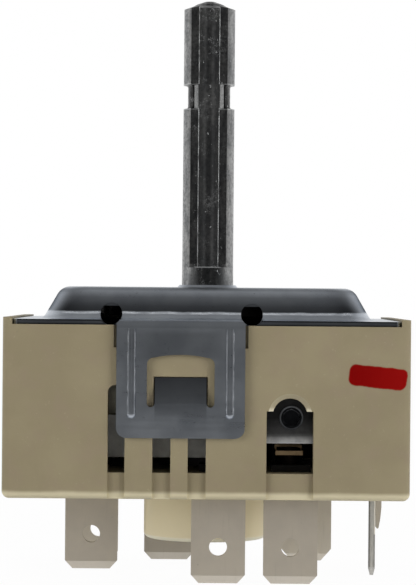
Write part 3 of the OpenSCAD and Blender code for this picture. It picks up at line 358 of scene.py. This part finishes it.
def shaft_shading(s):
    """Painted light and shade on the shaft: darker slots and centre rib with painted highlights on the arrises,
    the snap notch, the collar and the tip.

    Returns a factor of painted light and shade for the colour and a mask for painted highlights.
    """
    x = s.math("ABSOLUTE", s.axis("X"))
    y = s.math("ABSOLUTE", s.axis("Y"))
    z = s.axis("Z")

    # Painted light and shade across the front and back: darker slots and centre rib, with their own levels in
    # the notch, at the tip and on the collar.
    factor = s.levels(x, (0.0, 0.42), (0.2, 0.45), (0.5, 0.95), (0.8, 0.7), (1.1, 0.65), (1.28, 0.7),
                      (1.33, 0.45), (2.15, 0.45), (2.25, 0.95), (3.2, 0.95))
    notched = s.levels(x, (0.0, 0.45), (0.5, 0.95), (1.14, 0.7), (1.28, 1.0), (1.34, 2.6), (1.74, 2.6),
                       (1.8, 0.08), (2.2, 0.12), (3.2, 0.25))
    tip = s.levels(x, (0.0, 0.1), (0.3, 0.14), (0.6, 0.9), (1.9, 1.3), (3.2, 1.1))
    collar = s.levels(x, (0.0, 0.3), (0.95, 0.38), (1.35, 0.9), (2.2, 1.5), (3.2, 0.9))
    slots_low, slots_high = SLOTS_Z
    notch_low, notch_high = NOTCH_Z
    in_notch = s.band(z, notch_low, notch_high, 0.05 * MM)
    factor = s.switch(in_notch, factor, notched)
    factor = s.switch(s.span(z, slots_high, slots_high + 0.3 * MM), factor, tip)
    factor = s.switch(s.span(z, slots_low, slots_low - 0.1 * MM), factor, collar)

    # Painted highlights: the centre rib's arrises, inside the notch, the notch's rims, the step above the
    # collar and the collar's sides.
    ribbed = s.math("SUBTRACT", s.band(z, slots_low + 0.1 * MM, slots_high, 0.2 * MM), in_notch)
    arris = s.both(s.band(x, CENTRE_RIB - 0.1 * MM, CENTRE_RIB - 0.03 * MM, 0.03 * MM), ribbed)
    arris = s.both(arris, s.span(s.noise(1.4 * MM, seed=31.0), 0.3, 0.6, 0.2, 0.6))
    inner = s.both(s.both(s.band(x, CENTRE_RIB + 0.02 * MM, CENTRE_RIB + 0.44 * MM, 0.03 * MM), in_notch), 0.35)
    rim_above = s.band(z, notch_high + 0.07 * MM, notch_high + 0.15 * MM, 0.05 * MM)
    rim_below = s.band(z, notch_low - 0.17 * MM, notch_low - 0.09 * MM, 0.05 * MM)
    beside_rib = s.span(x, CENTRE_RIB, CENTRE_RIB + 0.05 * MM)
    rims = s.both(s.both(s.math("ADD", rim_above, rim_below), beside_rib), 0.4)
    step = s.band(z, slots_low - 0.1 * MM, slots_low, 0.05 * MM)
    step = s.both(s.both(step, s.span(x, CENTRE_RIB + 0.6 * MM, CENTRE_RIB)), 0.45)
    on_collar = s.span(z, slots_low, slots_low - 0.2 * MM)
    sides = s.both(s.both(s.band(x, 1.6 * MM, 2.3 * MM, 0.5 * MM), on_collar), 0.1)
    bright = s.widest(arris, inner, rims, step, sides)
    # Painted shade: the shaft's sides take one darker factor; the bands and highlights lie on the front and
    # back.
    front = s.span(y, 0.3 * MM, 0.8 * MM)
    return s.switch(front, 0.6, factor), s.both(bright, front)


def die_cast():
    """Tumbled zinc die casting: pale and dark mottling drawn out lengthwise, pits and small bright specks."""
    s = Shader("die_cast_zinc")
    streaks = s.noise(0.9 * MM, detail=5.0, rough=0.6, where=s.stretched((1.0, 1.0, 0.25)), seed=2.0)
    fine = s.span(s.noise(0.35 * MM, rough=0.7, seed=5.0), 0.42, 0.62)
    base = s.mix(s.span(streaks, 0.38, 0.62), srgb(128, 129, 130), srgb(168, 168, 167))
    base = s.mix(s.both(fine, 0.4), base, srgb(96, 98, 99))
    # Painted light and shade, and painted highlights, from shaft_shading.
    factor, bright = shaft_shading(s)
    worms = s.band(s.noise(0.55 * MM, detail=3.0, rough=0.65, seed=15.0), 0.515, 0.53, 0.012)
    worms = s.both(worms, s.span(s.noise(2.4 * MM, seed=16.0), 0.5, 0.62, 0.0, 0.5))
    specks = s.span(s.noise(0.3 * MM, detail=2.0, seed=14.0), 0.66, 0.73, 0.0, 0.8)
    # The bright specks and worm marks join the painted highlights in one pale mix.
    bright = s.widest(bright, s.both(s.widest(specks, worms), 0.6))
    base = s.mix(bright, s.shade(base, factor), srgb(228, 230, 230))
    pits = s.span(s.noise(0.28 * MM, detail=2.0, seed=9.0), 0.62, 0.74)
    rough = s.math("ADD", s.span(fine, 0.0, 1.0, 0.28, 0.46), s.both(specks, 0.2))
    height = s.noise(0.6 * MM, detail=5.0, rough=0.65, seed=3.0)
    height = s.math("SUBTRACT", height, s.both(pits, 0.4))
    height = s.math("ADD", height, s.both(specks, 0.6))
    return s.finish(Base_Color=base, Metallic=s.span(bright, 0.0, 1.0, 1.0, 0.1), Roughness=rough,
                    Normal=s.bump(height, 0.04 * MM, 0.7))


def tinned():
    """Tinned strip for terminals: warm grey, slightly clouded, painted light on the rear tabs, painted shade
    behind the boss and inside the housing, and painted highlights at the tips.
    """
    s = Shader("tinned_strip")
    y, z = s.axis("Y"), s.axis("Z")
    drawn = s.noise(0.3 * MM, where=s.stretched((1.0, 1.0, 0.07)), seed=1.0)
    clouds = s.noise(2.5 * MM, seed=4.0)
    base = s.mix(s.span(clouds, 0.3, 0.7), *TIN)
    # Painted light: the rear tabs are paler.
    base = s.mix(s.span(y, -3 * MM, 8 * MM, 0.0, 0.36), base, srgb(222, 216, 202))
    # Painted shade on the front faces of the tabs behind the boss.
    shade_behind_boss = s.both(s.band(s.axis("X"), -9 * MM, -1 * MM, 1 * MM), s.span(y, 5 * MM, 8 * MM, 0.0, 0.7))
    base = s.mix(s.both(shade_behind_boss, s.span(s.facing("Y"), 0.0, -0.5)), base, srgb(158, 150, 138))
    # Painted highlight on the downward bevels at the tabs' tips.
    tip = s.both(s.span(s.facing("Z"), -0.05, -0.25), s.span(z, BODY_Z - 6 * MM, BODY_Z - 7 * MM))
    base = s.mix(s.both(tip, 0.35), base, srgb(236, 230, 220))
    base = s.mix(s.span(drawn, 0.55, 0.8, 0.0, 0.12), base, srgb(120, 112, 100))
    base = s.flecked(base, srgb(96, 88, 78), 0.5 * MM, 0.7, 0.78, 0.3, detail=2.0, seed=6.0)
    base = s.mix(s.span(z, *INSIDE_Z), base, IN_SHADE)
    rough = s.span(clouds, 0.3, 0.7, 0.42, 0.54)
    return s.finish(Base_Color=base, Metallic=0.6, Roughness=rough, Normal=s.bump(drawn, 0.006 * MM, 0.4))


def side_strip():
    """Tinned strip seen on its shear-cut front edge: painted shade on the left, a painted highlight in the
    middle, grey to the right, and a pale painted highlight line beside it below the housing.
    """
    s = Shader("sheared_strip")
    z = s.axis("Z")
    x = s.math("SUBTRACT", s.axis("X"), SIDE_TAB_X)
    # Painted shade on the front edge's left side, a painted highlight in its middle, grey to the right.
    edge_light_and_shade = s.levels(s.wandering(x, 1.2 * MM, 0.12 * MM, seed=3.0), (-0.5, 0.6), (-0.38, 0.4), (-0.24, 0.45),
                       (-0.14, 1.1), (0.1, 1.2), (0.24, 0.9), (0.42, 0.75))
    drawn = s.noise(0.3 * MM, where=s.stretched((1.0, 1.0, 0.2)), seed=1.0)
    base = s.mix(s.span(drawn, 0.35, 0.65), srgb(172, 170, 164), srgb(190, 188, 182))
    tip = s.span(z, BODY_Z - 8.6 * MM, BODY_Z - 9.2 * MM, 0.0, 0.5)
    base = s.mix(tip, s.shade(base, edge_light_and_shade), srgb(215, 213, 208))
    # Painted highlight: a pale line beside the edge, below the housing.
    highlight_line = s.both(s.span(x, 0.24 * MM, 0.3 * MM), s.band(z, BODY_Z - 4.9 * MM, BODY_Z - 0.3 * MM, 0.2 * MM))
    base = s.mix(s.both(highlight_line, 0.9), base, srgb(250, 246, 234))
    face = s.span(s.math("ABSOLUTE", s.facing("X")), 0.85, 0.97)
    base = s.mix(face, base, s.clouded(*TIN, 2.5 * MM, 0.3, 0.7, seed=4.0))
    base = s.mix(s.span(z, *INSIDE_Z), base, IN_SHADE)
    return s.finish(Base_Color=base, Metallic=0.5, Roughness=0.42, Normal=s.bump(drawn, 0.006 * MM, 0.4))


def plain_metal(name, light, dark, rough):
    """Small steel, silver and copper pieces: a clouded colour with fine drawn grain."""
    s = Shader(name)
    grain = s.noise(0.15 * MM, detail=3.0, where=s.stretched((0.2, 1.0, 1.0)), seed=2.0)
    return s.finish(Base_Color=s.clouded(dark, light, 1.2 * MM), Metallic=1.0,
                    Roughness=s.span(grain, 0.3, 0.7, rough - 0.06, rough + 0.08),
                    Normal=s.bump(grain, 0.005 * MM, 0.4))


def lever_steel():
    """Steel strip with painted light and shade: dark beside the screw, lighter below, and a painted highlight
    on its shear-cut lower lip.
    """
    s = Shader("lever_steel")
    sagging = s.math("ADD", s.axis("Z"), s.both(s.axis("X"), -0.02))
    # Painted shade beside the screw, painted light below, and a painted highlight on the lower lip, in bands
    # that slope with the strip.
    tone = s.levels(sagging, (-18.6, 5.5), (-18.25, 5.5), (-18.15, 3.2), (-17.9, 2.9), (-17.6, 1.9),
                    (-17.42, 0.9), (-17.1, 0.42), (-16.4, 0.36), (-15.3, 0.14), (-12, 0.2))
    clouds = s.clouded(srgb(132, 132, 132), srgb(150, 150, 149), 0.9 * MM)
    grain = s.noise(0.15 * MM, detail=3.0, where=s.stretched((0.2, 1.0, 1.0)), seed=2.0)
    return s.finish(Base_Color=s.shade(clouds, tone), Metallic=1.0,
                    Roughness=s.span(grain, 0.3, 0.7, 0.3, 0.42), Normal=s.bump(grain, 0.005 * MM, 0.4))


def screw_steel():
    """Black oxide, with painted highlights: a grey ring round the socket and glints along its six corners."""
    s = Shader("black_oxide")
    x, z, radius = s.from_centre(SCREW)
    across = s.math("ABSOLUTE", x)
    for side in (1, -1):
        turned = s.math("ADD", s.both(x, 0.5), s.both(z, side * 0.866))
        across = s.widest(across, s.math("ABSOLUTE", turned))
    # Painted highlights: a grey ring round the socket and glints on the hexagon's upper corners.
    ring = s.both(s.band(radius, 1.24 * MM, 1.34 * MM, 0.06 * MM), s.span(z, -1.5 * MM, 1.2 * MM, 0.3, 0.75))
    corners = s.both(s.band(across, 0.86 * MM, 0.9 * MM, 0.05 * MM), s.span(z, 0.2 * MM, 1.0 * MM, 0.05, 0.5))
    painted_glints = s.both(s.math("ADD", ring, corners), s.span(s.noise(0.6 * MM, seed=2.0), 0.3, 0.7, 0.6, 1.0))
    base = s.mix(painted_glints, s.clouded(srgb(26, 28, 30), srgb(36, 38, 41), 0.8 * MM), srgb(176, 180, 184))
    return s.finish(Base_Color=base, Metallic=0.9, Roughness=0.3)


def plain_moulding(name, light, dark, rough):
    """Dark phenolic or unglazed ceramic: clouded, with a fine skin."""
    s = Shader(name)
    skin = s.noise(0.12 * MM, detail=3.0, seed=3.0)
    return s.finish(Base_Color=s.clouded(dark, light, 1.5 * MM, detail=5.0),
                    Roughness=s.span(skin, 0.3, 0.7, rough - 0.05, rough + 0.08),
                    Normal=s.bump(skin, 0.01 * MM, 0.6))


def dress(material, *names):
    """Puts one material on the named nodes."""
    for name in names:
        for slot in nodes[name].material_slots:
            slot.material = material


def soften(width, *names):
    """Rounds the sharp edges of the named nodes by a small bevel."""
    for name in names:
        flat = nodes[name].modifiers.new("flat_faces", "DECIMATE")
        flat.decimate_type = "DISSOLVE"
        flat.angle_limit = math.radians(0.5)
        bevel = nodes[name].modifiers.new("soft_edges", "BEVEL")
        bevel.width = width
        bevel.segments = 2
        bevel.limit_method = "ANGLE"
        bevel.angle_limit = math.radians(40)
        bevel.use_clamp_overlap = True


def dress_all():
    copper = plain_metal("copper_alloy", srgb(190, 164, 128), srgb(160, 136, 104), 0.4)
    # The rivets get a near-black brown as painted shade inside the housing.
    rivet = plain_metal("shaded_rivet", srgb(40, 33, 29), srgb(26, 22, 20), 0.5)
    spring = plain_metal("spring_steel", srgb(178, 178, 178), srgb(150, 150, 152), 0.3)
    bimetal = plain_metal("bimetal_alloy", srgb(204, 201, 184), srgb(188, 184, 168), 0.4)
    silver = plain_metal("silver_contact", srgb(214, 214, 210), srgb(196, 196, 194), 0.26)
    ceramic = plain_moulding("unglazed_ceramic", srgb(226, 226, 222), srgb(206, 206, 202), 0.6)
    phenolic = plain_moulding("dark_phenolic", srgb(44, 40, 39), srgb(34, 31, 30), 0.4)
    dress(thermoset(), "housing")
    dress(zinc_sheet(), "cover", "bimetal_bracket")
    dress(die_cast(), "shaft")
    dress(phenolic, "cam_wheel")
    dress(spring, "shaft_spring", "lever_pin", "detent_spring")
    dress(bimetal, "bimetal_strip")
    dress(lever_steel(), "set_lever")
    dress(screw_steel(), "calibration_screw")
    dress(ceramic, "heater_plate", "push_pin")
    dress(copper, "snap_blade", "snap_carrier", "pole_blade_left", "pole_blade_rear")
    dress(rivet, "snap_rivet", "bimetal_rivets")
    dress(silver, "moving_contact", "fixed_contact", "pole_contacts")
    dress(tinned(), *TABS, "side_lug")
    dress(side_strip(), "terminal_side")


def mesh_object(name, corners, faces):
    mesh = bpy.data.meshes.new(name)
    mesh.from_pydata(corners, [], faces)
    made = bpy.data.objects.new(name, mesh)
    bpy.context.collection.objects.link(made)
    return made


def stage_material(name, seen):
    """A pale diffuse floor that shows nearly white, by the share seen, to camera, glass and mirror rays."""
    s = Shader(name)
    path = s.add("ShaderNodeLightPath").outputs
    camera = path["Is Camera Ray"]
    direct = s.widest(camera, s.widest(path["Is Glossy Ray"], path["Is Transmission Ray"]))
    behind = s.span(s.axis("Y"), -0.12, -0.01, 0.12, 1.0)
    level = s.switch(camera, behind, 1.0)
    pale = s.add("ShaderNodeBsdfDiffuse", {"Color": (0.8, 0.8, 0.8, 1.0)}).outputs[0]
    white = s.add("ShaderNodeEmission", {"Color": (1.0, 1.0, 1.0, 1.0), "Strength": level}).outputs[0]
    mixed = s.add("ShaderNodeMixShader", {0: s.both(direct, seen), 1: pale, 2: white}).outputs[0]
    s.tree.links.new(mixed, s.output.inputs["Surface"])
    return s.material


def make_stage():
    """A pale floor under the tabs' tips. The world is the backdrop."""
    low = cad_box[0][2] - UNDER_TIPS
    half = FLOOR_HALF
    corners = [(-half, -half, low), (half, -half, low), (half, half, low), (-half, half, low)]
    floor = mesh_object("floor", corners, [(0, 1, 2, 3)])
    floor.data.materials.append(stage_material("floor_white", seen=FLOOR_WHITE))


def make_world():
    """White for the camera; for light and reflections a soft studio, darker towards the front and dim above."""
    world = bpy.data.worlds.new("studio")
    bpy.context.scene.world = world
    world.use_nodes = True
    tree = world.node_tree
    tree.nodes.clear()
    new, link = tree.nodes.new, tree.links.new
    where = new("ShaderNodeSeparateXYZ")
    link(new("ShaderNodeTexCoord").outputs["Generated"], where.inputs[0])
    ramp = new("ShaderNodeValToRGB")
    stops = [(0.0, 0.26), (0.05, 0.14), (0.25, 0.06), (0.5, 0.28), (0.68, 0.85), (1.0, 1.0)]
    while len(ramp.color_ramp.elements) < len(stops):
        ramp.color_ramp.elements.new(0.5)
    for element, (at, level) in zip(ramp.color_ramp.elements, stops):
        element.position = at
        element.color = (level, level, level, 1.0)
    depth = new("ShaderNodeMapRange")
    depth.inputs["From Min"].default_value = -1.0
    link(where.outputs["Y"], depth.inputs["Value"])
    link(depth.outputs["Result"], ramp.inputs["Fac"])
    height = new("ShaderNodeMapRange")
    height.inputs["From Min"].default_value = 0.2
    height.inputs["From Max"].default_value = 0.75
    link(where.outputs["Z"], height.inputs["Value"])
    sky = new("ShaderNodeMix")
    sky.data_type = "RGBA"
    link(height.outputs["Result"], sky.inputs["Factor"])
    link(ramp.outputs["Color"], sky.inputs["A"])
    sky.inputs["B"].default_value = (LIGHT_ABOVE, LIGHT_ABOVE, LIGHT_ABOVE, 1.0)
    lit = new("ShaderNodeBackground")
    link(sky.outputs["Result"], lit.inputs["Color"])
    white = new("ShaderNodeBackground")
    white.inputs["Color"].default_value = (1.0, 1.0, 1.0, 1.0)
    mixed = new("ShaderNodeMixShader")
    link(new("ShaderNodeLightPath").outputs["Is Camera Ray"], mixed.inputs[0])
    link(lit.outputs[0], mixed.inputs[1])
    link(white.outputs[0], mixed.inputs[2])
    link(mixed.outputs[0], new("ShaderNodeOutputWorld").inputs["Surface"])


def area_light(name, at, target, size, power):
    data = bpy.data.lights.new(name, "AREA")
    data.shape = "RECTANGLE"
    data.size, data.size_y = size
    data.energy = power
    made = bpy.data.objects.new(name, data)
    bpy.context.collection.objects.link(made)
    made.location = at
    made.rotation_euler = (Vector(target) - Vector(at)).to_track_quat("-Z", "Y").to_euler()
    made.visible_glossy = False


def make_lights():
    """Soft boxes at both sides, a little forward, and one above and behind."""
    middle = (0, 0, -0.01)
    side_box = (0.3, 0.35)
    area_light("top_box", (0.0, 0.25, 0.5), middle, (0.6, 0.3), 1.4)
    area_light("right_box", (0.42, -0.3, 0.06), middle, side_box, 1.9)
    area_light("left_box", (-0.42, -0.3, 0.06), middle, side_box, 1.6)


def make_camera():
    data = bpy.data.cameras.new("camera")
    data.sensor_fit = "AUTO"
    data.sensor_width = SENSOR
    data.lens = FOCAL_PX / PHOTO_H * SENSOR
    data.clip_start = 0.01
    data.clip_end = 20
    camera = bpy.data.objects.new("camera", data)
    bpy.context.collection.objects.link(camera)
    camera.location = CAMERA_AT
    camera.rotation_euler = (math.radians(90), -CAMERA_ROLL, 0)
    bpy.context.scene.camera = camera


make_camera()
make_world()
make_lights()
make_stage()
dress_all()
soften(TAB_EDGE, *TABS, "side_lug")
bpy.context.scene.view_settings.view_transform = "Standard"
